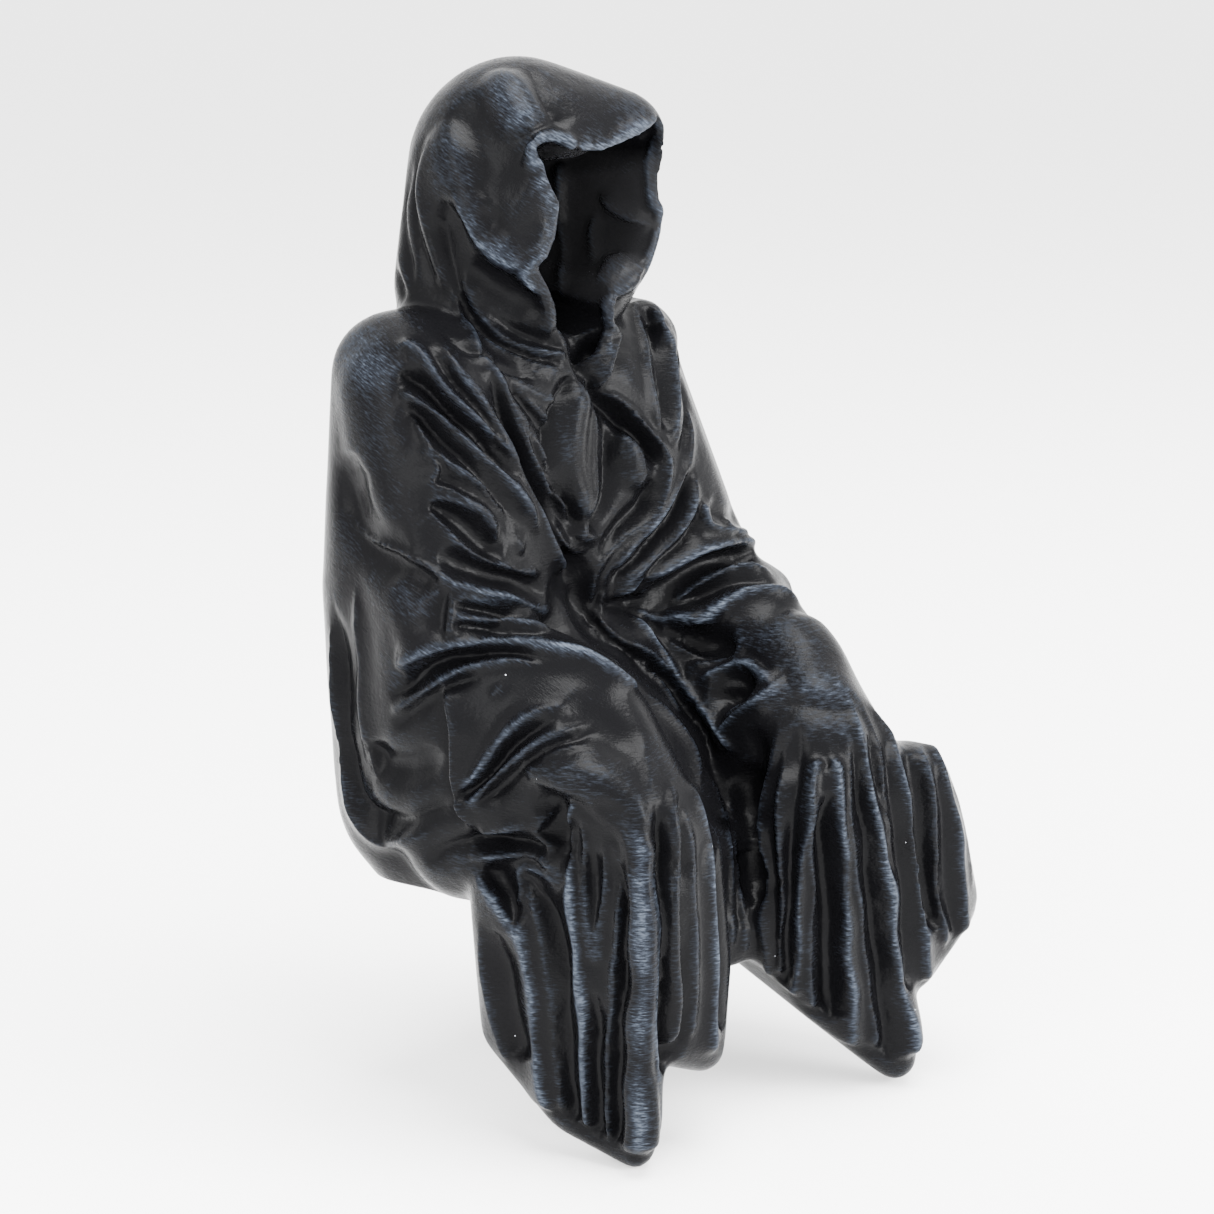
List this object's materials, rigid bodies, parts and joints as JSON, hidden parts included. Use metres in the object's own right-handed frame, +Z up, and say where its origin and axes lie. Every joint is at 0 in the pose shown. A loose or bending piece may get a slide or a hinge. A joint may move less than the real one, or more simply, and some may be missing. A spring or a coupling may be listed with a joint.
{
  "type": "ghost garden statue",
  "caption": "Seated, faceless ghost in an empty hood and flowing robe, cast to sit on the edge of a shelf, wall or step with its robe hanging over.",
  "frame": {"origin": "middle of the seat's flat underside, where the figure sits on the shelf", "axes": "+Z up, -Y the way the figure faces, +X towards the figure's left hand"},
  "size_m": [0.0907, 0.0878, 0.1757],
  "materials": {
    "black_resin": "satin black paint on cast resin, dry-brushed blue-grey on its ridges and edges"
  },
  "bodies": {
    "root": {"ghost_statue": "black_resin"}
  },
  "joints": []
}
